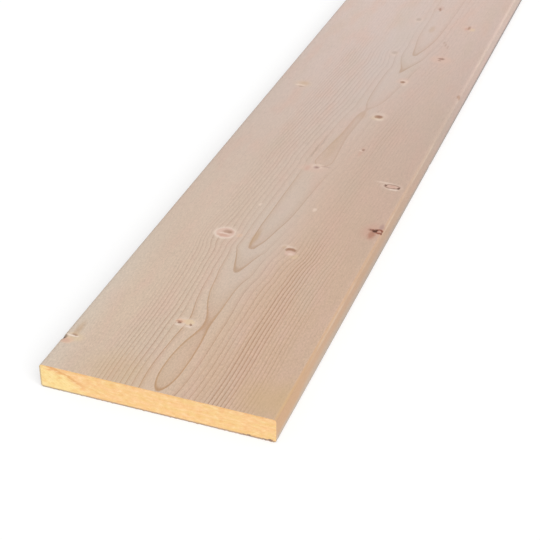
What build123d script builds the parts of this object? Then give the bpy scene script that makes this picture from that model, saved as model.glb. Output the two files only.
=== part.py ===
from build123d import *
import os

# A planed softwood plank: one straight length of timber with a rectangular
# section. The planer has eased its four long arrises, and both ends are sawn
# square across the grain. Lengths are in millimetres. X runs across the width,
# Y along the grain and Z up through the thickness, and the origin is at the
# centre of the underside.

# Driving dimensions
plank_length = 1800.0
plank_width = 195.0
plank_thickness = 22.0
arris_radius = 2.5

# The planed section stands on the XZ plane, with its lower side on the floor,
# and runs as far to the front of that plane as to the back of it
with BuildPart() as plank:
    with BuildSketch(Plane.XZ) as section:
        Rectangle(plank_width, plank_thickness, align=(Align.CENTER, Align.MIN))
        fillet(section.vertices(), radius=arris_radius)
    extrude(amount=plank_length / 2, both=True)

plank.part.label = "plank"

os.makedirs("parts", exist_ok=True)
export_step(plank.part, "parts/plank.step")
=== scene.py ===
import math

import bmesh
import bpy
import numpy as np
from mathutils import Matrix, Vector, noise


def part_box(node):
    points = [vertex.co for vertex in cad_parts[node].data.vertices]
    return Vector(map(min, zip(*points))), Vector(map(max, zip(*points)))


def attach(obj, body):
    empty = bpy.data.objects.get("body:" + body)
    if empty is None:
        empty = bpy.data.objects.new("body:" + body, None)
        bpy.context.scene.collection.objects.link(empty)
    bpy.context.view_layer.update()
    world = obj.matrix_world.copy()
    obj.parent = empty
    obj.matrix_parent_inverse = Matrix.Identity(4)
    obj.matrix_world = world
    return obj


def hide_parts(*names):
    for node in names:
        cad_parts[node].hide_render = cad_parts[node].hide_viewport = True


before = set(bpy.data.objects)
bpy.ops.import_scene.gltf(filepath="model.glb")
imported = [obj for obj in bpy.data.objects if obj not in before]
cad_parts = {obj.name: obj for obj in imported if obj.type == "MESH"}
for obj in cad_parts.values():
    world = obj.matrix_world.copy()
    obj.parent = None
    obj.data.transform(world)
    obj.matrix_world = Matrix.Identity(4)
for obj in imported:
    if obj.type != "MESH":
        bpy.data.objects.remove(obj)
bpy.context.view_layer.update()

# The plank's sizes, read from the frame. Places on the plank are written in
# millimetres: across from the middle, along from the near end, and up from
# the underside. In the materials the third number is the depth below the top.
MM = 0.001
node_low, node_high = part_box("plank")
LENGTH = (node_high.y - node_low.y) / MM
WIDTH = (node_high.x - node_low.x) / MM
THICKNESS = (node_high.z - node_low.z) / MM
top_corners = [v.co.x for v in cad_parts["plank"].data.vertices if v.co.z > node_high.z - MM / 100]
ARRIS = (node_high.x - max(top_corners)) / MM

# The ways that places on the plank are measured
ACROSS = (1.0, 0.0, 0.0)
ALONG = (0.0, 1.0, 0.0)
DEPTH = (0.0, 0.0, 1.0)

# The photograph: its width and height in pixels, the lens and the sensor's
# width in millimetres, the camera's place in metres from the middle of the
# near end's lower edge, and the camera's angles in degrees
PHOTO_SIZE = 540
LENS = 89.91
SENSOR = 36.0
CAMERA_PLACE = (0.3567, -0.7145, 0.6553)
AZIMUTH = 20.259
ELEVATION = 33.456

# The light: its level all round, then the lamp's strength, its spread in
# degrees and the way to it
ROOM_LIGHT = 0.55
LAMP_LIGHT = 2.5
LAMP_SPREAD = 60.0
LAMP_WAY = (0.534, -0.633, 0.56)
# The floor: how pale it is, how much it glows to read white, and in metres how
# far it reaches and how far it lies below the plank
FLOOR_PALE = 0.6
FLOOR_GLOW = 0.44
FLOOR_REACH = 8.0
FLOOR_GAP = 0.0002

# The mesh: points round an arris and across a face, rows by an end in
# millimetres, how many rows there are from the last of these to its match at
# the other end, levels up the thickness as shares of it, and the angle in
# degrees from which an edge is sharp
ARRIS_POINTS = 6
FACE_POINTS = 65
END_ROWS = np.array([0.0, 0.8, 1.8, 3.2, 5.0, 8.0, 14.0])
MIDDLE_ROWS = 220
LEVELS = np.array([0.0, 0.06, 0.15, 0.27, 0.4, 0.55, 0.7, 0.84, 0.94, 1.0])
SHARP_ANGLE = 40.0
# How it is divided further: the cuts in a face of an end, then the passes round
# hollows, each with how far past a hollow it goes, the longest edge that it
# leaves alone, and its cuts
END_CUTS = 3
HOLLOW_PASSES = [(3.0, 2.8, 2), (0.5, 0.8, 1)]
# Places of the two materials on the mesh
PLANED, SAWN = 0, 1
# Where the long faces and the ends start in the flat map and how far they
# reach, as shares of its height
FACES_START, FACES_REACH = 0.005, 0.915
ENDS_START, ENDS_REACH = 0.93, 0.065
# The ends, in millimetres: how deep the saw's marks are, how deep the fibres
# are torn along the foot, how much that varies and how high up it begins, then
# how far a torn point is raised as a share of its depth
SAW_MARK = 0.08
TEAR_DEPTH = 0.45
TEAR_VARIES = 0.5
TEAR_HEIGHT = 1.6
TEAR_RISE = 0.6

# Sockets of a Mix node that carry its two colours, and its mixed colour
MIX_FIRST, MIX_SECOND, MIX_RESULT = 6, 7, 2

# The tree that the plank was sawn from. Its pith runs above the upper face,
# and its rings grow a little wider outward.
PITH_HEIGHT = 100.0
RING_WIDTH = 1.10
RING_GAIN = 0.013
BRANCH_SLOPE = 0.4

# Tables along the plank are charted in two runs that meet at this place
RUN_SPLIT = 860.0
# How many rings the growth steps up at places along the plank, which draws
# the leaf and the row of arrowheads down the middle of the upper face
RING_RISE = [
    (0, 0.04), (3, 0.0), (8, -0.09), (14, -0.18), (20, -0.25), (26, -0.29), (33, -0.31), (40, -0.31),
    (55, -0.26), (68, -0.19), (80, -0.1), (92, -0.045), (105, -0.085), (118, -0.21), (131, -0.34),
    (156, -0.6), (165, -0.8), (172, -1.0), (178, -1.05), (184, -1.12), (191, -1.22), (200, -1.45),
    (206, -1.7), (211, -2.0), (216, -2.05), (222, -2.12), (230, -2.21), (247, -2.33), (280, -2.5),
    (320, -2.63), (347, -2.74), (366, -2.92), (374, -3.05), (379, -3.24), (385, -3.31), (393, -3.29),
    (402, -3.24), (411, -3.19), (420, -3.14), (430, -3.095), (440, -3.06), (455, -3.055), (470, -3.065),
    (482, -3.08), (490, -3.07), (497, -3.035), (501, -3.015), (505, -3.03), (511, -3.12), (517, -3.25),
    (552, -3.68), (580, -3.87), (600, -3.95), (608, -4.0), (614, -4.05), (620, -4.15), (626, -4.3),
    (632, -4.48), (640, -4.72), (648, -4.93), (653, -5.0), (660, -5.05), (668, -5.14), (680, -5.3),
    (695, -5.48), (710, -5.6), (800, -5.85), (RUN_SPLIT, -5.97), (900, -6.1), (960, -6.9), (1010, -7.05),
    (1090, -7.5), (1180, -8.2), (1300, -8.6), (1420, -8.75), (1500, -9.3), (1600, -10.1), (1700, -10.5),
    (LENGTH, -10.8),
]
# How far the pith wanders across, in millimetres, and how far the straighter
# rings to both sides of it do
PITH_DRIFT = [
    (0, 1.6), (35, 1.8), (52, 2.2), (68, 2.6), (92, 3.0), (109, 1.8), (118, 0.5), (131, -1.2), (156, -2.7),
    (172, -2.2), (191, -2.5), (211, -3.0), (225, -2.0), (247, -0.4), (280, 2.4), (320, 3.8), (347, 5.0),
    (373, 7.0), (392, 7.6), (420, 7.8), (440, 8.9), (460, 10.2), (485, 12.8), (500, 14.4), (517, 16.8),
    (552, 19.6), (600, 22.2), (620, 24.4), (655, 25.0), (680, 27.5), (RUN_SPLIT, 27.0), (1000, 20.0),
    (1200, 10.0), (1400, 4.0), (1600, 8.0), (LENGTH, 12.0),
]
FLANK_DRIFT = [
    (0, 1.8), (92, 1.6), (156, 0.2), (211, -0.5), (280, 1.5), (347, 4.0), (430, 8.0), (500, 12.0),
    (560, 17.0), (620, 22.0), (700, 26.0), (RUN_SPLIT, 27.0), (1000, 20.0), (1200, 10.0), (1400, 4.0),
    (1600, 8.0), (LENGTH, 12.0),
]
# How strongly the ring lines show across the plank, and along it in the
# figure down the middle and to the left and right of that
LINE_ACROSS = [
    (-WIDTH / 2, 0.25), (-94, 0.05), (-70, 0.06), (-60, 0.25), (-52, 0.65), (-42, 1.0), (-30, 1.0),
    (8, 1.0), (16, 0.85), (30, 0.9), (40, 1.1), (46, 2.1), (55, 2.1), (60, 1.2), (70, 1.1), (78, 0.6),
    (84, 0.15), (94, 0.1), (WIDTH / 2, 0.25),
]
MIDDLE_ALONG = [
    (0, 1.2), (60, 1.1), (130, 1.05), (170, 1.3), (235, 1.4), (300, 1.25), (345, 1.0), (375, 0.55),
    (440, 0.5), (490, 0.5), (540, 0.9), (600, 0.95), (660, 0.9), (720, 0.7), (860, 0.55), (1100, 0.8),
    (1400, 1.0), (LENGTH, 1.1),
]
LEFT_ALONG = [
    (0, 1.0), (60, 0.98), (130, 0.8), (215, 0.75), (250, 0.58), (300, 0.55), (430, 0.65), (560, 0.72),
    (650, 0.5), (720, 0.2), (860, 0.2), (1000, 0.4), (1200, 0.8), (1500, 0.9), (LENGTH, 0.9),
]
RIGHT_ALONG = [
    (0, 0.78), (150, 0.78), (200, 0.64), (240, 0.42), (280, 0.18), (400, 0.18), (450, 0.26), (520, 0.12),
    (860, 0.12), (1000, 0.3), (1200, 0.7), (1500, 0.8), (LENGTH, 0.8),
]
# How strongly the fine grit in the wood shows along the plank
GRIT_ALONG = [
    (0, 0.36), (120, 0.33), (250, 0.22), (450, 0.14), (600, 0.08), (800, 0.08), (1100, 0.2), (LENGTH, 0.3),
]
# How light the bare wood is along and across the plank, and along it in the
# right half
LIGHT_ALONG = [
    (0, 1.03), (120, 1.02), (300, 0.99), (450, 0.97), (560, 0.98), (680, 1.0), (800, 1.02),
    (1100, 0.99), (1500, 1.0), (LENGTH, 1.02),
]
LIGHT_ACROSS = [
    (-WIDTH / 2, 0.95), (-90, 0.965), (-72, 0.99), (-55, 1.0), (60, 1.0), (80, 0.97), (WIDTH / 2, 0.95),
]
RIGHT_LIGHT = [
    (0, 1.0), (180, 1.0), (280, 0.965), (450, 0.965), (560, 0.975), (720, 0.985), (860, 1.0), (1200, 0.98),
    (LENGTH, 1.0),
]
# How much painted shade darkens the right side and how orange it is along the plank, and
# how strong the painted shade along the lower edges of both sides is and how far up it reaches
SIDE_SHADE = [
    (0, 0.91), (35, 0.9), (85, 0.895), (150, 0.875), (230, 0.855), (335, 0.895), (450, 0.915), (580, 0.945),
    (700, 1.0), (LENGTH, 0.96),
]
SIDE_ORANGE = [
    (0, 0.65), (60, 0.55), (120, 0.42), (250, 0.34), (400, 0.13), (560, 0.0), (1500, 0.1), (LENGTH, 0.4),
]
FOOT_SHADE = [
    (0, 0.05), (35, 0.12), (85, 0.21), (150, 0.29), (230, 0.38), (335, 0.48), (450, 0.57), (580, 0.72),
    (720, 0.95), (860, 1.0), (1100, 0.7), (LENGTH, 0.4),
]
FOOT_REACH = [
    (0, 8.5), (45, 9.0), (95, 14.0), (220, 14.0), (300, 13.0), (480, 8.0), (860, 8.5), (LENGTH, 8.0),
]

# Knots and marks: across, along, radius, how far it pushes the grain aside
# as a share, and the recipe of its colours. Each lies over those before it,
# and those more than 900 along are past the photograph's edge.
KNOTS = [
    (3, 235, 100.0, 0.0, "coolness"),
    (5, 640, 150.0, 0.0, "coolness"),
    (-94, 40, 6.0, 0.4, "arris"),
    (-12.5, 89, 8.0, 0.35, "twin"),
    (-34, 228, 8.5, 0.5, "sound"),
    (31, 219, 8.0, 0.35, "slit"),
    (91.4, 277, 8.0, 0.8, "dead"),
    (82, 358, 7.0, 0.8, "outlined"),
    (4, 369, 5.0, 0.3, "soft"),
    (4, 369, 5.0, 0.0, "cap"),
    (36, 418, 3.0, 0.4, "fleck"),
    (30, 492, 7.0, 0.5, "brown"),
    (31, 580, 4.5, 0.3, "pin"),
    (-69, 539, 6.0, 0.5, "faint"),
    (55, 651, 6.0, 0.6, "red"),
    (2, 651, 5.0, 0.4, "smudge"),
    (3, 752, 5.0, 0.4, "smudge"),
    (65, 747, 5.0, 0.5, "faded"),
    (19, 790, 4.0, 0.3, "dash"),
    (51, 691, 8.0, 0.0, "crease"),
    (-22, 285, 4.0, 0.0, "speck"),
    (28, 293, 5.0, 0.0, "speck"),
    (96, 566, 4.0, 0.0, "nick"),
    (25, 729, 9.0, 0.0, "patch"),
    (13.5, 489, 8.0, 0.0, "wash"),
    (6.5, 413, 38.0, 0.0, "streak"),
    (-7, 411, 16.0, 0.0, "vein"),
    (-6.0, 229, 16.0, 0.0, "stain"),
    (-35, 12, 30.0, 0.0, "warmth"),
    (91, 16, 26.0, 0.0, "warmth"),
    (90, 24, 30.0, 0.0, "warmth"),
    (-58, 905, 7.5, 0.6, "sound"),
    (41, 918, 6.5, 0.5, "brown"),
    (84, 1003, 6.0, 0.8, "outlined"),
    (-15, 1012, 4.5, 0.4, "soft"),
    (-82, 1098, 5.5, 0.5, "faint"),
    (24, 1135, 7.5, 0.5, "slit"),
    (-40, 1168, 5.0, 0.6, "red"),
    (66, 1240, 7.0, 0.6, "brown"),
    (8, 1322, 5.0, 0.4, "pin"),
    (-70, 1345, 7.0, 0.7, "outlined"),
    (47, 1418, 6.5, 0.6, "sound"),
    (-24, 1466, 4.0, 0.4, "fleck"),
    (86, 1525, 5.0, 0.6, "red"),
    (-48, 1580, 7.0, 0.6, "brown"),
    (18, 1612, 5.0, 0.4, "smudge"),
    (58, 1700, 5.0, 0.5, "pin"),
    (-80, 1730, 5.5, 0.5, "faint"),
]


def paint(red, green, blue):
    """A colour as it looks on screen, in 0 to 255, as the linear colour that a shader takes."""
    shares = [level / 255 for level in (red, green, blue)]
    return [s / 12.92 if s <= 0.04045 else ((s + 0.055) / 1.055) ** 2.4 for s in shares] + [1.0]


# Colours of knots and stains
TONES = {
    "white": paint(236, 219, 205),
    "pale": paint(228, 206, 190),
    "cream": paint(224, 198, 162),
    "peach": paint(228, 190, 162),
    "straw": paint(203, 172, 128),
    "blush": paint(216, 184, 168),
    "pink": paint(202, 160, 142),
    "tan": paint(188, 154, 118),
    "brown": paint(166, 128, 105),
    "red": paint(168, 112, 90),
    "heart": paint(134, 92, 74),
    "rust": paint(136, 72, 50),
    "bark": paint(82, 46, 32),
    "grey": paint(160, 138, 124),
    "mauve": paint(172, 140, 132),
    "ash": paint(201, 194, 188),
}
# Marks of each kind of knot: tone, then as shares of the knot's radius its
# half width across and along, its shift across and along, then how much it
# covers and how soft its edge is
RECIPES = {
    "sound": [
        ("pale", 1.25, 1.2, 0, 0.1, 0.45, 0.3), ("white", 1.12, 1.1, -0.04, -0.04, 0.62, 0.18),
        ("blush", 0.98, 0.94, 0, 0.02, 0.9, 0.15), ("peach", 0.3, 0.3, 1.6, 0.0, 0.4, 0.6),
        ("brown", 0.52, 0.36, 0.2, 0.3, 0.6, 0.5), ("heart", 0.2, 0.14, 0.4, 0.25, 0.3, 0.6),
        ("pink", 0.6, 0.25, -0.05, -0.5, 0.7, 0.5), ("pale", 0.6, 0.12, -0.1, -0.12, 0.7, 0.5),
    ],
    "twin": [
        ("pale", 1.15, 0.8, 0, 0.1, 0.55, 0.4), ("cream", 0.6, 0.42, 0.25, 0.3, 0.7, 0.3),
        ("peach", 0.5, 0.36, -0.6, 0.2, 0.7, 0.4), ("red", 0.36, 0.12, -0.72, 0.12, 0.6, 0.5),
        ("heart", 0.22, 0.14, -0.62, -0.08, 0.75, 0.4), ("heart", 0.13, 0.16, 0.6, -0.1, 0.7, 0.4),
        ("white", 0.28, 0.13, -0.75, -0.5, 0.5, 0.5), ("white", 0.26, 0.12, 0.55, -0.5, 0.5, 0.5),
    ],
    "slit": [
        ("pale", 0.7, 0.4, -0.55, 0.75, 0.5, 0.5), ("cream", 0.5, 0.45, 0.75, -0.9, 0.35, 0.5),
        ("brown", 0.58, 0.46, -0.08, 0.2, 1.0, 0.25), ("blush", 0.58, 0.55, 0.06, -0.36, 0.9, 0.35),
        ("pale", 0.3, 0.24, 0.15, -0.55, 0.6, 0.6), ("tan", 0.2, 0.3, -0.95, 0.6, 0.4, 0.5),
    ],
    "dead": [
        ("pink", 1.0, 1.5, -0.5, -0.3, 0.6, 0.7), ("red", 0.36, 0.9, -0.3, -0.9, 0.65, 0.6),
        ("mauve", 0.25, 0.7, 0.35, 0.9, 0.7, 0.6), ("rust", 0.8, 0.28, -0.05, 0.05, 0.65, 0.5),
        ("rust", 0.5, 0.5, 0.36, -0.02, 0.9, 0.25), ("pink", 0.26, 0.22, 0.3, 0.0, 0.85, 0.3),
        ("bark", 0.18, 0.36, 0.66, -0.02, 0.7, 0.5), ("bark", 0.3, 0.34, -0.2, 0.04, 0.95, 0.4),
        ("bark", 0.12, 0.16, -0.72, 0.05, 0.45, 0.4),
    ],
    "outlined": [
        ("pale", 1.35, 0.85, 0.1, -0.05, 0.5, 0.35), ("pale", 1.1, 0.25, -1.1, 0.75, 0.55, 0.6),
        ("white", 0.6, 0.2, 0.5, -0.75, 0.55, 0.5), ("heart", 1.12, 0.6, 0.1, 0, 0.75, 0.18),
        ("blush", 0.92, 0.4, 0.1, 0.02, 0.85, 0.25),
        ("bark", 0.16, 0.22, -0.8, 0.12, 0.7, 0.45), ("bark", 0.18, 0.24, 1.02, -0.12, 0.85, 0.4),
        ("pink", 0.4, 0.14, 0.1, 0.1, 0.7, 0.6), ("heart", 0.15, 0.15, 0.5, -0.45, 0.6, 0.5),
    ],
    "soft": [
        ("blush", 2.4, 1.3, -0.6, -0.6, 0.5, 0.6), ("pale", 1.1, 1.0, 0.15, 0.45, 0.6, 0.4),
        ("mauve", 0.58, 0.56, 0, 0, 0.75, 0.5), ("heart", 0.26, 0.24, 0.05, 0, 0.4, 0.6),
    ],
    "pin": [
        ("blush", 1.5, 1.6, 0.1, 0.6, 0.5, 0.5), ("pale", 1.05, 1.05, 0.2, 0.3, 0.5, 0.4),
        ("pale", 0.6, 0.8, 0.6, -1.2, 0.4, 0.5),
        ("brown", 0.62, 0.62, 0, 0, 0.75, 0.4), ("heart", 0.34, 0.36, 0.1, 0.1, 0.4, 0.6),
    ],
    "fleck": [
        ("pink", 0.6, 3.0, -0.2, -1.4, 0.45, 0.7), ("pale", 0.7, 0.6, -0.5, -0.6, 0.6, 0.5),
        ("heart", 0.5, 0.75, 0.1, 0, 0.6, 0.5),
    ],
    "brown": [
        ("pale", 1.1, 1.1, 0, 0.3, 0.4, 0.5), ("cream", 0.9, 0.7, -0.1, -0.45, 0.35, 0.5),
        ("white", 0.6, 0.5, 0.3, -0.75, 0.35, 0.5), ("brown", 0.62, 0.56, 0.0, 0, 0.85, 0.35),
        ("heart", 0.32, 0.28, 0.1, 0.05, 0.45, 0.6),
    ],
    "faint": [
        ("cream", 1.4, 1.2, 0, 0.1, 0.25, 0.6), ("pale", 0.8, 0.3, -0.3, -0.6, 0.8, 0.5),
        ("tan", 0.8, 0.65, 0.2, 0.4, 0.34, 0.6), ("brown", 0.5, 0.2, 0.0, -1.0, 0.45, 0.6),
    ],
    "red": [
        ("blush", 1.9, 1.5, 0, 0, 0.6, 0.4), ("heart", 0.6, 0.45, 0.1, 0.25, 0.6, 0.45),
        ("blush", 0.4, 0.18, 0, -0.25, 0.8, 0.5), ("heart", 0.32, 0.2, -0.05, -0.6, 0.6, 0.5),
    ],
    "faded": [
        ("blush", 1.3, 1.5, -0.2, 0, 0.5, 0.6), ("cream", 0.6, 0.8, 0.95, -0.7, 0.5, 0.6),
        ("pink", 0.5, 0.7, -0.4, -0.6, 0.6, 0.6), ("brown", 0.34, 0.95, 0, 0.1, 0.7, 0.5),
    ],
    "dash": [
        ("pink", 0.9, 1.7, 0.1, 0.9, 0.35, 0.6), ("brown", 0.32, 0.9, 0.25, -0.5, 0.6, 0.5),
        ("heart", 0.32, 0.8, -0.1, 0.4, 0.5, 0.5),
    ],
    "crease": [
        ("brown", 0.12, 0.5, 0.45, -0.7, 0.35, 0.6), ("brown", 0.12, 0.5, 0, 0, 0.4, 0.6),
        ("brown", 0.12, 0.5, -0.4, 0.7, 0.35, 0.6),
    ],
    "cap": [("mauve", 0.95, 0.22, 1.7, 0.75, 0.4, 0.6), ("pink", 0.4, 1.0, -1.6, -0.9, 0.45, 0.6)],
    "vein": [("grey", 0.055, 0.8, -0.06, -0.72, 0.4, 0.6), ("grey", 0.055, 0.8, 0.06, 0.72, 0.3, 0.6)],
    "smudge": [("pale", 1.0, 1.2, 0, -0.4, 0.3, 0.6), ("grey", 0.6, 0.8, 0, 0, 0.4, 0.6)],
    "speck": [("pale", 0.36, 0.6, 0, 0, 0.7, 0.6)],
    "nick": [("brown", 0.4, 1.0, 0, 0, 0.6, 0.6)],
    "patch": [("tan", 0.32, 1.0, 0, 0, 0.3, 0.6)],
    "streak": [("tan", 0.11, 0.75, 0, 0, 0.22, 0.7)],
    "stain": [("tan", 0.16, 0.85, 0, 0, 0.5, 0.6)],
    "wash": [("tan", 0.5, 1.0, 0, 0, 0.22, 0.8)],
    "warmth": [("straw", 0.8, 0.7, 0, 0, 0.3, 0.8)],
    "coolness": [("ash", 0.2, 1.0, 0, 0, 0.28, 0.8)],
    "arris": [
        ("cream", 1.4, 0.9, 0.9, 0.2, 0.5, 0.5), ("peach", 0.9, 0.7, 0.35, -0.7, 0.6, 0.4),
        ("pink", 0.6, 0.45, 0.2, -0.8, 0.5, 0.5), ("tan", 0.4, 1.7, 0.8, 2.0, 0.5, 0.8),
        ("white", 0.85, 0.2, 0.6, 0.45, 0.9, 0.4), ("brown", 0.4, 0.2, 0.85, 0.68, 0.75, 0.5),
        ("bark", 0.41, 0.46, -0.38, -0.05, 0.95, 0.4),
    ],
}
# How deep the marks of a recipe go, in millimetres; those not named go right
# through
SHALLOW = {
    "dead": 1.0, "outlined": 6.0, "arris": 3.0, "nick": 3.0, "speck": 1.0, "patch": 1.0, "streak": 3.0,
    "stain": 3.0, "vein": 3.0, "cap": 3.0, "crease": 1.0, "warmth": 1.0, "coolness": 1.0, "wash": 3.0,
}
# Hollows in a knot of a kind: as shares of its radius the shift across and
# along and the half width across and along, then the depth in millimetres
HOLLOWS = {
    "dead": [(-0.2, 0.04, 0.32, 0.38, 1.0), (0.6, 0.0, 0.26, 0.36, 0.4)],
    "slit": [(0.0, 0.3, 0.6, 0.25, 0.3)],
    "twin": [(-0.62, -0.1, 0.24, 0.2, 0.4), (0.6, -0.1, 0.2, 0.2, 0.3)],
    "arris": [(-0.4, -0.1, 0.5, 0.55, 1.6)],
    "outlined": [(1.02, -0.12, 0.24, 0.3, 0.4), (-0.8, 0.12, 0.22, 0.28, 0.3)],
    "red": [(0.1, 0.25, 0.5, 0.4, 0.2)],
}
# Half height in millimetres of the ovals that scoop those hollows
SCOOP_HEIGHT = 4.0
# Chips knocked or torn out of the edges: centre, half widths, and the way
# and depth that the wood is gone
CHIPS = [
    ((92.5, 0.0, 1.4), (2.6, 2.0, 1.2), (0.0, 1.5, 0.2)),
    ((88.0, 0.0, 1.0), (2.4, 2.0, 0.9), (0.0, 1.2, 0.2)),
    ((84.0, 0.0, 0.8), (1.6, 1.6, 0.7), (0.0, 0.8, 0.1)),
    ((75.5, 0.0, 1.2), (2.2, 2.0, 1.1), (0.0, 1.4, 0.2)),
    ((71.5, 0.0, 0.8), (1.8, 1.6, 0.8), (0.0, 0.9, 0.1)),
    ((58.0, 0.0, 0.6), (1.8, 1.4, 0.7), (0.0, 0.7, 0.1)),
    ((97.0, 445.0, 0.8), (2.4, 5.0, 2.4), (-0.9, 0.0, 0.7)),
    ((-40.0, LENGTH, 0.0), (3.0, 2.2, 2.2), (0.0, -1.0, 1.1)),
    ((33.0, LENGTH, 0.0), (2.2, 1.8, 1.6), (0.0, -0.7, 0.8)),
    ((-95.5, LENGTH, 0.5), (3.0, 2.2, 2.2), (0.4, -1.0, 0.8)),
]


# In the plank's materials each node is made after those that feed it, apart
# from the nodes at the end. These long shaders otherwise run out of room for
# the values that they hold at once.


def put(tree, socket, value):
    """Feeds a socket from another, or sets its own value."""
    if isinstance(value, bpy.types.NodeSocket):
        tree.links.new(value, socket)
    else:
        socket.default_value = value


def calc(tree, operation, *values):
    """The result of a Math node."""
    node = tree.nodes.new("ShaderNodeMath")
    node.operation = operation
    for socket, value in zip(node.inputs, values):
        put(tree, socket, value)
    return node.outputs[0]


def vector_calc(tree, operation, *values):
    """The result of a Vector Math node: a number for a dot product or a length, else a vector."""
    node = tree.nodes.new("ShaderNodeVectorMath")
    node.operation = operation
    for socket, value in zip(node.inputs, values):
        put(tree, socket, value)
    return node.outputs["Value" if operation in ("DOT_PRODUCT", "LENGTH") else "Vector"]


def part_of(tree, vector, way):
    """How far a vector goes one way."""
    return vector_calc(tree, "DOT_PRODUCT", vector, way)


def joined(tree, *numbers):
    """A vector of three numbers."""
    node = tree.nodes.new("ShaderNodeCombineXYZ")
    for socket, number in zip(node.inputs, numbers):
        put(tree, socket, number)
    return node.outputs[0]


def ease(tree, value, start, stop, low=0.0, high=1.0):
    """A smooth step from low at start to high at stop."""
    node = tree.nodes.new("ShaderNodeMapRange")
    node.interpolation_type = "SMOOTHSTEP"
    for socket, given in zip(node.inputs, (value, start, stop, low, high)):
        put(tree, socket, given)
    return node.outputs[0]


def blend(tree, amount, first, second, mode="MIX"):
    """Two colours mixed by an amount."""
    node = tree.nodes.new("ShaderNodeMix")
    node.data_type = "RGBA"
    node.blend_type = mode
    put(tree, node.inputs["Factor"], amount)
    put(tree, node.inputs[MIX_FIRST], first)
    put(tree, node.inputs[MIX_SECOND], second)
    return node.outputs[MIX_RESULT]


def shaded(tree, colour, level):
    """A colour made lighter or darker by a level, where 1 leaves it alone."""
    grey = tree.nodes.new("ShaderNodeCombineColor")
    for socket in grey.inputs:
        put(tree, socket, level)
    return blend(tree, 1.0, colour, grey.outputs[0], "MULTIPLY")


def noise_node(tree, place, stretch, detail=2.0, roughness=0.5):
    """A noise whose features are about stretch millimetres long each way."""
    scaled = vector_calc(tree, "DIVIDE", place, stretch)
    node = tree.nodes.new("ShaderNodeTexNoise")
    put(tree, node.inputs["Vector"], scaled)
    node.inputs["Scale"].default_value = 1.0
    node.inputs["Detail"].default_value = detail
    node.inputs["Roughness"].default_value = roughness
    return node


def grain_noise(tree, place, stretch, **settings):
    """A noise as a number from 0 to 1."""
    return noise_node(tree, place, stretch, **settings).outputs[0]


def chart(tree, value, points):
    """A smooth curve through given points, read at value."""
    places = [place for place, level in points]
    levels = [level for place, level in points]
    low, high = min(levels), max(levels)
    start, stop = places[0], places[-1]
    share = calc(tree, "DIVIDE", calc(tree, "SUBTRACT", value, start), stop - start)
    node = tree.nodes.new("ShaderNodeFloatCurve")
    curve = node.mapping.curves[0]
    for _ in points[2:]:
        curve.points.new(0.5, 0.5)
    for point, place, level in zip(curve.points, places, levels):
        point.location = ((place - start) / (stop - start), (level - low) / (high - low))
        point.handle_type = "AUTO_CLAMPED"
    node.mapping.update()
    put(tree, node.inputs["Value"], share)
    return calc(tree, "MULTIPLY_ADD", node.outputs[0], high - low, low)


def long_chart(tree, along, points):
    """A chart in two runs, because one curve is too coarse for the whole length."""
    near = chart(tree, along, [point for point in points if point[0] <= RUN_SPLIT])
    far = chart(tree, along, [point for point in points if point[0] >= RUN_SPLIT])
    past = calc(tree, "GREATER_THAN", along, RUN_SPLIT)
    return calc(tree, "MULTIPLY_ADD", past, calc(tree, "SUBTRACT", far, near), near)


def new_group(name, inputs, outputs):
    """An empty node group with its sockets, and its two end nodes."""
    tree = bpy.data.node_groups.new(name, "ShaderNodeTree")
    for label, kind in inputs:
        tree.interface.new_socket(label, in_out="INPUT", socket_type=kind)
    for label, kind in outputs:
        tree.interface.new_socket(label, in_out="OUTPUT", socket_type=kind)
    return tree, tree.nodes.new("NodeGroupInput"), tree.nodes.new("NodeGroupOutput")


def use_group(tree, group, **values):
    """A group placed in a tree with its inputs fed by name."""
    node = tree.nodes.new("ShaderNodeGroup")
    node.node_tree = group
    for label, value in values.items():
        put(tree, node.inputs[label], value)
    return node


def knot_axis(across, along):
    """Where a knot's axis meets the upper face, and how it leans for each millimetre down."""
    centre = (across, along, 0.0)
    lean = (across / PITH_HEIGHT, -BRANCH_SLOPE, 0.0)
    return centre, lean


def offset_from_axis(tree, given, depth):
    """How far a point lies from a knot's axis, at the point's own depth."""
    down = joined(tree, depth, depth, depth)
    axis = vector_calc(tree, "MULTIPLY_ADD", given.outputs["Lean"], down, given.outputs["Centre"])
    return vector_calc(tree, "SUBTRACT", given.outputs["Place"], axis)


def flow_group():
    """How far one knot pushes the grain aside."""
    tree, given, result = new_group(
        "Flow round a knot",
        [("Place", "NodeSocketVector"), ("Centre", "NodeSocketVector"), ("Lean", "NodeSocketVector"),
         ("Reach", "NodeSocketVector"), ("Strength", "NodeSocketFloat")],
        [("Push", "NodeSocketFloat")],
    )
    depth = part_of(tree, given.outputs["Place"], DEPTH)
    offset = offset_from_axis(tree, given, depth)
    scaled = vector_calc(tree, "MULTIPLY", offset, given.outputs["Reach"])
    square = vector_calc(tree, "DOT_PRODUCT", scaled, scaled)
    fall = calc(tree, "EXPONENT", calc(tree, "MULTIPLY", square, -0.5))
    sideways = part_of(tree, offset, ACROSS)
    push = calc(tree, "MULTIPLY", sideways, calc(tree, "MULTIPLY", fall, given.outputs["Strength"]))
    put(tree, result.inputs["Push"], push)
    return tree


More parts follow.
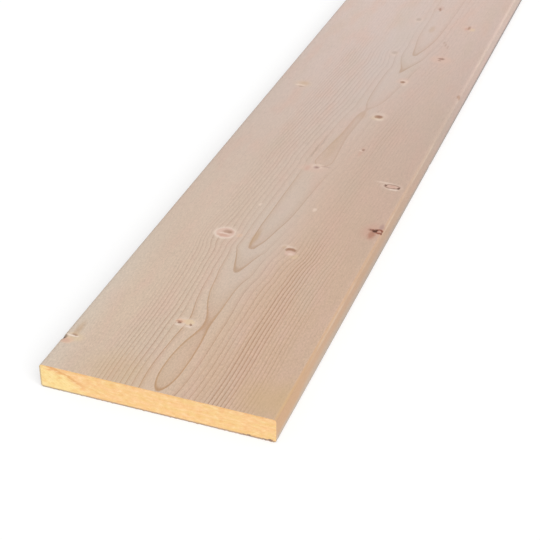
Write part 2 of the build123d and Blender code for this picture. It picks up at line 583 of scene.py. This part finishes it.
def mark_group():
    """One soft-edged oval of colour that runs down into the plank along a knot's axis."""
    tree, given, result = new_group(
        "Mark",
        [("Colour", "NodeSocketColor"), ("Place", "NodeSocketVector"), ("Centre", "NodeSocketVector"),
         ("Lean", "NodeSocketVector"), ("Size", "NodeSocketVector"), ("Tone", "NodeSocketColor"),
         ("Amount", "NodeSocketFloat"), ("Edge", "NodeSocketFloat"), ("Deep", "NodeSocketFloat")],
        [("Colour", "NodeSocketColor")],
    )
    depth = part_of(tree, given.outputs["Place"], DEPTH)
    offset = offset_from_axis(tree, given, depth)
    distance = vector_calc(tree, "LENGTH", vector_calc(tree, "MULTIPLY", offset, given.outputs["Size"]))
    inner = calc(tree, "SUBTRACT", 1.0, given.outputs["Edge"])
    outer = calc(tree, "ADD", 1.0, given.outputs["Edge"])
    cover = ease(tree, distance, inner, outer, given.outputs["Amount"], 0.0)
    above = calc(tree, "LESS_THAN", depth, given.outputs["Deep"])
    cover = calc(tree, "MULTIPLY", cover, above)
    put(tree, result.inputs["Colour"], blend(tree, cover, given.outputs["Colour"], given.outputs["Tone"]))
    return tree


def growth_group():
    """A point's place in the plank and in straightened grain, its ring, and its distance beside the pith."""
    tree, given, result = new_group(
        "Growth", [],
        [("Place", "NodeSocketVector"), ("Grain", "NodeSocketVector"), ("Ring", "NodeSocketFloat"),
         ("Sideways", "NodeSocketFloat")],
    )
    position = tree.nodes.new("ShaderNodeTexCoord").outputs["Object"]
    to_mm = (1 / MM, 1 / MM, -1 / MM)
    start = (0.0, -node_low.y / MM, node_high.z / MM)
    place = vector_calc(tree, "MULTIPLY_ADD", position, to_mm, start)
    across, along, depth = [part_of(tree, place, way) for way in (ACROSS, ALONG, DEPTH)]
    flow = flow_group()
    push = 0.0
    for knot_across, knot_along, radius, strength, _ in KNOTS:
        if strength > 0:
            centre, lean = knot_axis(knot_across, knot_along)
            reach = (0.8 / radius, 0.45 / radius, 0.0)
            node = use_group(tree, flow, Place=place, Centre=centre, Lean=lean, Reach=reach,
                             Strength=strength)
            push = calc(tree, "ADD", push, node.outputs["Push"])
    straight = calc(tree, "SUBTRACT", across, push)
    flank = ease(tree, calc(tree, "ABSOLUTE", straight), 12.0, 36.0)
    drift = long_chart(tree, along, PITH_DRIFT)
    change = calc(tree, "SUBTRACT", long_chart(tree, along, FLANK_DRIFT), drift)
    drift = calc(tree, "MULTIPLY_ADD", flank, change, drift)
    sideways = calc(tree, "SUBTRACT", straight, drift)
    height = calc(tree, "ADD", depth, PITH_HEIGHT)
    squares = calc(tree, "ADD", calc(tree, "POWER", sideways, 2.0), calc(tree, "POWER", height, 2.0))
    beyond = calc(tree, "SUBTRACT", calc(tree, "SQRT", squares), PITH_HEIGHT)
    ring = calc(tree, "DIVIDE", beyond, calc(tree, "MULTIPLY_ADD", beyond, RING_GAIN, RING_WIDTH))
    ring = calc(tree, "ADD", ring, long_chart(tree, along, RING_RISE))
    wander = grain_noise(tree, place, (16.0, 90.0, 30.0), detail=1.0)
    ring = calc(tree, "MULTIPLY_ADD", calc(tree, "SUBTRACT", wander, 0.5), 0.12, ring)
    put(tree, result.inputs["Place"], place)
    put(tree, result.inputs["Grain"], joined(tree, straight, along, depth))
    put(tree, result.inputs["Ring"], ring)
    put(tree, result.inputs["Sideways"], sideways)
    return tree


def latewood(tree, ring):
    """How much of the dark summer wood a point has: it builds up through a ring and stops short."""
    start = calc(tree, "SUBTRACT", ring, 0.04)
    share = calc(tree, "FRACT", start)
    line = ease(tree, share, 0.87, 0.955)
    wash = ease(tree, share, 0.4, 0.96)
    stop = ease(tree, share, 0.965, 1.0, 1.0, 0.0)
    both = calc(tree, "ADD", calc(tree, "MULTIPLY", line, 0.68), calc(tree, "MULTIPLY", wash, 0.32))
    number = calc(tree, "FLOOR", start)
    each = tree.nodes.new("ShaderNodeTexWhiteNoise")
    each.noise_dimensions = "1D"
    put(tree, each.inputs["W"], number)
    strength = calc(tree, "MULTIPLY_ADD", each.outputs[0], 0.4, 0.6)
    return calc(tree, "MULTIPLY", calc(tree, "MULTIPLY", both, stop), strength)


def new_material(name):
    """A material with one Principled shader, and that shader."""
    material = bpy.data.materials.new(name)
    material.use_nodes = True
    shader = material.node_tree.nodes["Principled BSDF"]
    shader.inputs["Specular IOR Level"].default_value = 0.2
    return material, material.node_tree, shader


def add_bump(tree, shader, height, strength, depth):
    """Relief too fine for the mesh, from a height of 0 to 1 that stands for a depth in millimetres."""
    bump = tree.nodes.new("ShaderNodeBump")
    bump.inputs["Strength"].default_value = strength
    bump.inputs["Distance"].default_value = depth * MM
    put(tree, bump.inputs["Height"], height)
    put(tree, shader.inputs["Normal"], bump.outputs[0])


def bare_wood(tree, wood):
    """The wood between the lines: tan by the near end and pink further off, greyer to the left."""
    across = part_of(tree, wood["Place"], ACROSS)
    along = part_of(tree, wood["Place"], ALONG)
    right = ease(tree, across, -30.0, 50.0)
    far = ease(tree, along, 0.0, 760.0)
    near_colour = blend(tree, right, paint(208, 186, 165), paint(205, 175, 150))
    far_colour = blend(tree, right, paint(210, 190, 181), paint(208, 185, 174))
    colour = blend(tree, far, near_colour, far_colour)
    cloud = grain_noise(tree, wood["Grain"], (16.0, 60.0, 16.0))
    colour = blend(tree, ease(tree, cloud, 0.4, 0.75, 0.0, 0.4), colour, paint(214, 180, 164))
    drift = grain_noise(tree, wood["Grain"], (30.0, 110.0, 24.0))
    colour = blend(tree, ease(tree, drift, 0.45, 0.75, 0.0, 0.4), colour, paint(202, 182, 163))
    strip = ease(tree, across, -70.0, -96.0)
    strip = calc(tree, "MULTIPLY", strip, ease(tree, along, 120.0, 260.0, 0.5, 0.1))
    colour = blend(tree, strip, colour, paint(214, 202, 188))
    right_half = shaded(tree, colour, chart(tree, along, RIGHT_LIGHT))
    colour = blend(tree, ease(tree, across, 20.0, 55.0), colour, right_half)
    level = calc(tree, "MULTIPLY", chart(tree, along, LIGHT_ALONG), chart(tree, across, LIGHT_ACROSS))
    return shaded(tree, colour, level)


def ring_lines(tree, wood, colour):
    """The dark lines of the rings: tan in the wide figure down the middle, redder beside it."""
    across = part_of(tree, wood["Place"], ACROSS)
    along = part_of(tree, wood["Place"], ALONG)
    beside = ease(tree, wood["Sideways"], -8.0, 8.0, chart(tree, along, LEFT_ALONG),
                  chart(tree, along, RIGHT_ALONG))
    middle = calc(tree, "MULTIPLY", ease(tree, wood["Sideways"], -24.0, -8.0),
                  ease(tree, wood["Sideways"], 9.0, 19.0, 1.0, 0.0))
    figure = calc(tree, "SUBTRACT", chart(tree, along, MIDDLE_ALONG), beside)
    show = calc(tree, "MULTIPLY_ADD", middle, figure, beside)
    show = calc(tree, "MULTIPLY", chart(tree, across, LINE_ACROSS), show)
    amount = calc(tree, "MULTIPLY", latewood(tree, wood["Ring"]), show)
    tone = blend(tree, middle, paint(204, 176, 162), paint(218, 190, 156))
    return blend(tree, amount, colour, blend(tree, 1.0, colour, tone, "MULTIPLY"))


def fibres(tree, wood, colour):
    """Long fine fibres, short flecks and a few thin resin dashes, all along the grain."""
    along = part_of(tree, wood["Place"], ALONG)
    fine = grain_noise(tree, wood["Grain"], (0.8, 24.0, 0.8), detail=3.0, roughness=0.65)
    fleck = grain_noise(tree, wood["Grain"], (1.6, 8.0, 1.6), roughness=0.6)
    level = calc(tree, "MULTIPLY_ADD", fine, 0.16, 0.92)
    level = calc(tree, "MULTIPLY", level, calc(tree, "MULTIPLY_ADD", fleck, 0.2, 0.9))
    grit = grain_noise(tree, wood["Grain"], (1.1, 2.6, 1.1), detail=1.0)
    speck = calc(tree, "MULTIPLY", calc(tree, "SUBTRACT", grit, 0.5), chart(tree, along, GRIT_ALONG))
    level = calc(tree, "MULTIPLY", level, calc(tree, "ADD", speck, 1.0))
    dash = grain_noise(tree, wood["Grain"], (0.7, 5.0, 0.7), detail=0.0)
    level = calc(tree, "SUBTRACT", level, ease(tree, dash, 0.7, 0.84, 0.0, 0.14))
    return shaded(tree, colour, level), fine


def knot_marks(tree, wood, colour, mark):
    """Every knot and stain laid over the wood, with slightly crooked outlines."""
    wobble = noise_node(tree, wood["Place"], (2.6, 2.6, 2.6)).outputs["Color"]
    shifted = vector_calc(tree, "SUBTRACT", wobble, (0.5, 0.5, 0.5))
    place = vector_calc(tree, "MULTIPLY_ADD", shifted, (2.2, 2.2, 0.0), wood["Place"])
    for across, along, radius, _, recipe in KNOTS:
        deep = SHALLOW.get(recipe, 2 * THICKNESS)
        for tone, wide, long, right_shift, far_shift, amount, edge in RECIPES[recipe]:
            centre, lean = knot_axis(across + right_shift * radius, along + far_shift * radius)
            size = (1 / (wide * radius), 1 / (long * radius), 0.0)
            node = use_group(tree, mark, Colour=colour, Place=place, Centre=centre, Lean=lean, Size=size,
                             Tone=TONES[tone], Amount=amount, Edge=edge, Deep=deep)
            colour = node.outputs["Colour"]
    return colour


def side_tint_and_shade(tree, wood, colour):
    """The right side's more orange wood with painted shade that darkens it, and how far a point is round on
    to that side.
    """
    along = part_of(tree, wood["Place"], ALONG)
    side = ease(tree, part_of(tree, wood["Place"], ACROSS), WIDTH / 2 - ARRIS, WIDTH / 2 - ARRIS / 4)
    orange = calc(tree, "MULTIPLY", side, chart(tree, along, SIDE_ORANGE))
    colour = blend(tree, orange, colour, paint(224, 176, 130))
    # painted shade: the right side darkened along the plank
    return blend(tree, side, colour, shaded(tree, colour, chart(tree, along, SIDE_SHADE))), side


def painted_arris_light(tree, wood, colour, side):
    """The right side's upper arris: painted shade that dulls it by the near end, and painted highlights as
    pale streaks further off.
    """
    along = part_of(tree, wood["Place"], ALONG)
    depth = part_of(tree, wood["Place"], DEPTH)
    # painted highlight: pale streaks along the arris, in patches
    highlight_patches = ease(tree, grain_noise(tree, wood["Place"], (60.0, 34.0, 60.0)), 0.35, 0.65, 0.06, 0.34)
    from_middle = calc(tree, "ABSOLUTE", calc(tree, "SUBTRACT", depth, ARRIS * 0.85))
    pale = calc(tree, "MULTIPLY", side, ease(tree, from_middle, 0.4, 1.8, highlight_patches, 0.0))
    pale = calc(tree, "MULTIPLY", pale, ease(tree, along, 45.0, 110.0))
    colour = blend(tree, pale, colour, paint(226, 208, 186))
    # painted shade: the arris darkened by the near end
    arris_shade = calc(tree, "MULTIPLY", side, ease(tree, depth, ARRIS * 0.8, ARRIS * 1.2, 1.0, 0.0))
    arris_shade = calc(tree, "MULTIPLY", arris_shade, ease(tree, along, 20.0, 180.0, 0.5, 0.0))
    return blend(tree, arris_shade, colour, paint(186, 152, 120))


def painted_foot_shade(tree, wood, colour):
    """Painted shade along the lower edges of both sides, darkest in a line along the foot."""
    across = calc(tree, "ABSOLUTE", part_of(tree, wood["Place"], ACROSS))
    along = part_of(tree, wood["Place"], ALONG)
    depth = part_of(tree, wood["Place"], DEPTH)
    outer = ease(tree, across, WIDTH / 2 - ARRIS, WIDTH / 2 - ARRIS / 2)
    outer = calc(tree, "MULTIPLY", outer, ease(tree, along, 860.0, 1150.0, 1.0, 0.5))
    start = calc(tree, "SUBTRACT", THICKNESS, chart(tree, along, FOOT_REACH))
    low = calc(tree, "MULTIPLY", outer, ease(tree, depth, start, THICKNESS - 3.0, 0.0, 0.75))
    # painted shade: the lower sides are greyed towards the foot
    grey = blend(tree, chart(tree, along, FOOT_SHADE), paint(205, 191, 174), paint(133, 122, 121))
    colour = blend(tree, low, colour, grey)
    # painted shade: a darker line along the foot
    foot = calc(tree, "MULTIPLY", outer, ease(tree, depth, THICKNESS - 4.5, THICKNESS - 2.0, 0.0, 0.55))
    foot = calc(tree, "MULTIPLY", foot, ease(tree, along, 400.0, 700.0, 0.35, 1.0))
    return blend(tree, foot, colour, paint(112, 100, 98))


def planed_face(growth, mark):
    """The planed faces: pale softwood with ring lines, fibres and knots."""
    material, tree, shader = new_material("planed_softwood")
    wood = use_group(tree, growth).outputs
    colour = ring_lines(tree, wood, bare_wood(tree, wood))
    colour, fine = fibres(tree, wood, colour)
    colour, side = side_tint_and_shade(tree, wood, colour)
    colour = painted_foot_shade(tree, wood, painted_arris_light(tree, wood, colour, side))
    put(tree, shader.inputs["Base Color"], knot_marks(tree, wood, colour, mark))
    put(tree, shader.inputs["Roughness"], calc(tree, "MULTIPLY_ADD", fine, 0.2, 0.5))
    furrow = grain_noise(tree, wood["Place"], (0.8, 20.0, 0.8))
    add_bump(tree, shader, furrow, strength=0.4, depth=0.1)
    return material


def sapwood_corner(tree, wood, mottle, colour):
    """The yellower sapwood at the left of an end, with an orange band along its edge."""
    across = part_of(tree, wood["Place"], ACROSS)
    slant = calc(tree, "MULTIPLY_ADD", part_of(tree, wood["Place"], DEPTH), 0.3, -3.0)
    edge = calc(tree, "MULTIPLY_ADD", mottle, 9.0, calc(tree, "ADD", wood["Ring"], slant))
    left = ease(tree, across, -76.0, -46.0, 1.0, 0.0)
    sapwood = calc(tree, "MULTIPLY", left, ease(tree, edge, 24.0, 27.5))
    colour = blend(tree, sapwood, colour, paint(243, 216, 152))
    past = calc(tree, "ABSOLUTE", calc(tree, "SUBTRACT", edge, 23.7))
    rim = calc(tree, "MULTIPLY", left, ease(tree, past, 0.2, 2.0, 0.75, 0.0))
    return blend(tree, rim, colour, paint(220, 158, 100))


def end_edges(tree, wood, colour):
    """An end's darker upper edge, painted contact shade with darker torn fibres along its lower edge, a grey
    left edge, and painted shade with darker torn fibres in the pits where wood is torn out.
    """
    across, along, depth = [part_of(tree, wood["Place"], way) for way in (ACROSS, ALONG, DEPTH)]
    from_end = calc(tree, "MINIMUM", along, calc(tree, "SUBTRACT", LENGTH, along))
    # painted shade, with darker torn fibres: the end darkened where its surface is sunk in pits and along
    # the torn lower edge
    colour = blend(tree, ease(tree, from_end, 0.2, 1.0, 0.0, 0.85), colour, paint(120, 92, 78))
    high = ease(tree, depth, 1.6, 0.2, 0.0, 0.3)
    colour = blend(tree, high, colour, paint(214, 156, 104))
    # painted contact shade along the lower edge, with darker torn fibres; the left edge is greyed too
    low = ease(tree, depth, THICKNESS - 2.6, THICKNESS - 0.8, 0.0, 0.75)
    outer = ease(tree, across, 1.6 - WIDTH / 2, 0.3 - WIDTH / 2, 0.0, 0.65)
    return blend(tree, calc(tree, "MAXIMUM", low, outer), colour, paint(160, 140, 130))


def sawn_end(growth):
    """The sawn ends: mottled orange end grain with faint rings and a rough surface."""
    material, tree, shader = new_material("sawn_end")
    wood = use_group(tree, growth).outputs
    mottle = grain_noise(tree, wood["Place"], (14.0, 14.0, 5.0), detail=3.0, roughness=0.6)
    colour = blend(tree, ease(tree, mottle, 0.35, 0.65), paint(243, 198, 145), paint(239, 201, 139))
    colour = sapwood_corner(tree, wood, mottle, colour)
    late = latewood(tree, wood["Ring"])
    colour = blend(tree, calc(tree, "MULTIPLY", late, 0.2), colour, paint(214, 156, 98))
    blotch = grain_noise(tree, wood["Place"], (6.5, 6.5, 2.5), detail=3.0, roughness=0.6)
    colour = blend(tree, ease(tree, blotch, 0.48, 0.75, 0.0, 0.55), colour, paint(230, 170, 106))
    colour = blend(tree, ease(tree, blotch, 0.5, 0.3, 0.0, 0.5), colour, paint(252, 224, 176))
    speckle = grain_noise(tree, wood["Place"], (0.9, 0.9, 0.9), detail=3.0, roughness=0.7)
    colour = shaded(tree, colour, calc(tree, "MULTIPLY_ADD", speckle, 0.22, 0.89))
    put(tree, shader.inputs["Base Color"], end_edges(tree, wood, colour))
    shader.inputs["Roughness"].default_value = 0.8
    add_bump(tree, shader, speckle, strength=0.5, depth=0.2)
    return material


def section_columns():
    """Across, the arris's drop and the run round the section at each column, from left to right."""
    turns = np.linspace(math.pi / 2, 0, ARRIS_POINTS)
    flat = WIDTH / 2 - ARRIS
    left = -flat - ARRIS * np.sin(turns)
    drop = ARRIS * (1 - np.cos(turns))
    middle = np.linspace(-flat, flat, FACE_POINTS)[1:-1]
    across = np.concatenate([left, middle, -left[::-1]])
    drops = np.concatenate([drop, np.zeros(len(middle)), drop[::-1]])
    steps = np.hypot(np.diff(across), np.diff(drops))
    return across, drops, np.concatenate([[0.0], np.cumsum(steps)])


def side_views(blocks):
    """The six sides of a block: top, underside, left, right, near end and far end, facing outward."""
    top, under, left, right, near, far = blocks
    return [top[:, :, -1], under[:, :, 0].T, left[0].T, right[-1], near[:, 0], far[:, -1].T]


def quad_corners(side):
    """The four corners of every quad of a grid, a row for each quad."""
    return np.stack([side[:-1, :-1], side[1:, :-1], side[1:, 1:], side[:-1, 1:]], axis=-1).reshape(-1, 4)


def unwrapped(points, run):
    """Flat map places for the six sides: the faces side by side, with both ends in a band above them."""
    across, along, up = points[..., 0], points[..., 1], points[..., 2]
    face = run[-1]
    edge = THICKNESS - 2 * ARRIS
    girth = 2 * (face + edge)
    round_top = np.broadcast_to(run[:, None, None], across.shape)
    rights = [round_top, 2 * face + edge - round_top, 2 * face + edge + up - ARRIS,
              face + THICKNESS - ARRIS - up, across + WIDTH / 2, across + WIDTH / 2 + girth / 2]
    body = FACES_START + along / LENGTH * FACES_REACH
    band = ENDS_START + up / THICKNESS * ENDS_REACH
    ups = [body, body, body, body, band, band]
    return [right / girth for right in rights], ups


def plank_block():
    """The plank as a closed block of quads: points in millimetres, corners, materials and flat map."""
    across, drops, run = section_columns()
    middle = np.linspace(END_ROWS[-1], LENGTH - END_ROWS[-1], MIDDLE_ROWS)[1:-1]
    along = np.concatenate([END_ROWS, middle, LENGTH - END_ROWS[::-1]])
    shape = (len(across), len(along), len(LEVELS))
    points = np.zeros(shape + (3,))
    points[..., 0] = across[:, None, None]
    points[..., 1] = along[None, :, None]
    points[..., 2] = (drops[:, None] + (THICKNESS - 2 * drops)[:, None] * LEVELS)[:, None, :]
    outside = np.ones(shape, bool)
    outside[1:-1, 1:-1, 1:-1] = False
    ids = np.full(shape, -1)
    ids[outside] = np.arange(outside.sum())
    quads = [quad_corners(side) for side in side_views([ids] * 6)]
    rights, ups = unwrapped(points, run)
    flat = [np.stack([quad_corners(r), quad_corners(u)], axis=-1)
            for r, u in zip(side_views(rights), side_views(ups))]
    materials = np.repeat([PLANED] * 4 + [SAWN] * 2, [len(side) for side in quads])
    return points[outside], np.concatenate(quads), materials, np.concatenate(flat)


def hollow_list():
    """Every hollow and chip: its centre, half widths and the way that the wood is gone."""
    hollows = list(CHIPS)
    for across, along, radius, _, recipe in KNOTS:
        for right_shift, far_shift, wide, long, depth in HOLLOWS.get(recipe, []):
            centre = (across + right_shift * radius, along + far_shift * radius, THICKNESS)
            hollows.append((centre, (wide * radius, long * radius, SCOOP_HEIGHT), (0.0, 0.0, -depth)))
    return hollows


def refine(shape, chosen, cuts):
    """Divides the chosen faces evenly, and their neighbours to match."""
    edges = dict.fromkeys(edge for face in chosen for edge in face.edges)
    bmesh.ops.subdivide_edges(shape, edges=list(edges), cuts=cuts, use_grid_fill=True)


def coarse_faces(shape, centre, reach, longest):
    """The faces whose middle lies within reach of a place and that have an edge longer than a length."""
    near = [face for face in shape.faces if (face.calc_center_median() - Vector(centre)).length < reach]
    return [face for face in near if max(edge.calc_length() for edge in face.edges) > longest]


def split_uneven(shape):
    """Splits the faces that have a corner in the middle of a straight edge into triangles."""
    straight = math.radians(175)
    uneven = [face for face in shape.faces if max(loop.calc_angle() for loop in face.loops) > straight]
    bmesh.ops.triangulate(shape, faces=uneven, quad_method="BEAUTY", ngon_method="BEAUTY")


def carve(points, hollows):
    """Scoops the hollows out of the points."""
    for centre, widths, gone in hollows:
        offset = (points - np.array(centre)) / np.array(widths)
        fall = np.clip(1 - (offset ** 2).sum(axis=1), 0, None) ** 1.5
        points += fall[:, None] * np.array(gone)


def roughen_ends(points):
    """Leaves both ends a little uneven from the saw, with torn fibres along the lower edge."""
    for end, inward in ((0.0, 1.0), (LENGTH, -1.0)):
        for number in np.flatnonzero(np.abs(points[:, 1] - end) < 0.001):
            across, _, up = points[number]
            tooth = noise.noise(Vector((across / 3.0, end, up / 1.2)))
            ragged = noise.noise(Vector((across / 2.2, end + 7.0, 0.0)))
            low = max(0.0, 1 - up / TEAR_HEIGHT)
            torn = low * (TEAR_DEPTH + TEAR_VARIES * ragged)
            points[number, 1] += inward * (SAW_MARK + SAW_MARK * tooth + torn)
            points[number, 2] += TEAR_RISE * torn


def plain_mesh(materials):
    """The plain block as a mesh in millimetres, with its materials and flat map."""
    points, quads, places, flat = plank_block()
    mesh = bpy.data.meshes.new("planed_plank")
    mesh.from_pydata(points.tolist(), [], quads.tolist())
    for material in materials:
        mesh.materials.append(material)
    mesh.polygons.foreach_set("material_index", places.astype(np.int32))
    mesh.polygons.foreach_set("use_smooth", np.ones(len(quads), bool))
    mesh.uv_layers.new(name="OFBake").data.foreach_set("uv", flat.ravel())
    return mesh


def divide(mesh, hollows):
    """Divides the ends, and the faces round hollows where they are still coarse."""
    shape = bmesh.new()
    shape.from_mesh(mesh)
    refine(shape, [face for face in shape.faces if face.material_index == SAWN], END_CUTS)
    for margin, longest, cuts in HOLLOW_PASSES:
        for centre, widths, _ in hollows:
            refine(shape, coarse_faces(shape, centre, max(widths) + margin, longest), cuts)
    split_uneven(shape)
    shape.to_mesh(mesh)
    shape.free()


def build_plank(materials):
    """The plank's piece: the block with rough ends, hollows and chips, in its place in the frame."""
    hollows = hollow_list()
    mesh = plain_mesh(materials)
    divide(mesh, hollows)
    points = np.empty(len(mesh.vertices) * 3)
    mesh.vertices.foreach_get("co", points)
    points = points.reshape(-1, 3)
    roughen_ends(points)
    carve(points, hollows)
    near_foot = np.array([0.0, node_low.y, node_low.z])
    mesh.vertices.foreach_set("co", (points * MM + near_foot).ravel())
    mesh.set_sharp_from_angle(angle=math.radians(SHARP_ANGLE))
    mesh.update()
    piece = bpy.data.objects.new("planed_plank", mesh)
    bpy.context.scene.collection.objects.link(piece)
    return piece


def shown_rays(tree):
    """1 for rays that look at the background straight, in a reflection or through glass."""
    path = tree.nodes.new("ShaderNodeLightPath")
    seen = calc(tree, "MAXIMUM", path.outputs["Is Camera Ray"], path.outputs["Is Glossy Ray"])
    return calc(tree, "MAXIMUM", seen, path.outputs["Is Transmission Ray"])


def build_floor():
    """A plain pale floor that reads white and keeps the plank's soft shadow."""
    mesh = bpy.data.meshes.new("floor")
    level = node_low.z - FLOOR_GAP
    signs = [(-1, -1), (1, -1), (1, 1), (-1, 1)]
    corners = [(right * FLOOR_REACH, far * FLOOR_REACH, level) for right, far in signs]
    mesh.from_pydata(corners, [], [(0, 1, 2, 3)])
    floor = bpy.data.objects.new("floor", mesh)
    bpy.context.scene.collection.objects.link(floor)
    material = bpy.data.materials.new("pale_floor")
    material.use_nodes = True
    tree = material.node_tree
    tree.nodes.clear()
    matt = tree.nodes.new("ShaderNodeBsdfDiffuse")
    matt.inputs["Color"].default_value = (FLOOR_PALE, FLOOR_PALE, FLOOR_PALE, 1.0)
    glow = tree.nodes.new("ShaderNodeEmission")
    put(tree, glow.inputs["Strength"], calc(tree, "MULTIPLY", shown_rays(tree), FLOOR_GLOW))
    both = tree.nodes.new("ShaderNodeAddShader")
    put(tree, both.inputs[0], matt.outputs[0])
    put(tree, both.inputs[1], glow.outputs[0])
    surface = tree.nodes.new("ShaderNodeOutputMaterial")
    put(tree, surface.inputs["Surface"], both.outputs[0])
    mesh.materials.append(material)


def light_scene():
    """Even light all round, and one broad soft lamp from the front, right and above."""
    world = bpy.data.worlds.new("studio")
    bpy.context.scene.world = world
    world.use_nodes = True
    tree = world.node_tree
    strength = calc(tree, "MULTIPLY_ADD", shown_rays(tree), 1.0 - ROOM_LIGHT, ROOM_LIGHT)
    put(tree, tree.nodes["Background"].inputs["Color"], (1.0, 1.0, 1.0, 1.0))
    put(tree, tree.nodes["Background"].inputs["Strength"], strength)
    lamp = bpy.data.lights.new("key", "SUN")
    lamp.energy = LAMP_LIGHT
    lamp.angle = math.radians(LAMP_SPREAD)
    key = bpy.data.objects.new("key", lamp)
    key.rotation_mode = "QUATERNION"
    key.rotation_quaternion = Vector(LAMP_WAY).to_track_quat("Z", "Y")
    bpy.context.scene.collection.objects.link(key)


def place_camera():
    """The photograph's viewpoint, worked out from the plank's edges."""
    data = bpy.data.cameras.new("camera")
    data.sensor_width = SENSOR
    data.lens = LENS
    half_pixel = 0.5 / PHOTO_SIZE
    data.shift_x = -half_pixel
    data.shift_y = half_pixel
    camera = bpy.data.objects.new("camera", data)
    camera.location = Vector(CAMERA_PLACE) + Vector((0.0, node_low.y, node_low.z))
    azimuth, elevation = math.radians(AZIMUTH), math.radians(ELEVATION)
    back = Vector((math.sin(azimuth) * math.cos(elevation), -math.cos(azimuth) * math.cos(elevation),
                   math.sin(elevation)))
    camera.rotation_mode = "QUATERNION"
    camera.rotation_quaternion = (-back).to_track_quat("-Z", "Y")
    bpy.context.scene.collection.objects.link(camera)
    bpy.context.scene.camera = camera


bpy.context.scene.view_settings.view_transform = "Standard"
place_camera()
light_scene()
build_floor()
growth = growth_group()
plank = build_plank([planed_face(growth, mark_group()), sawn_end(growth)])
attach(plank, "root")
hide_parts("plank")
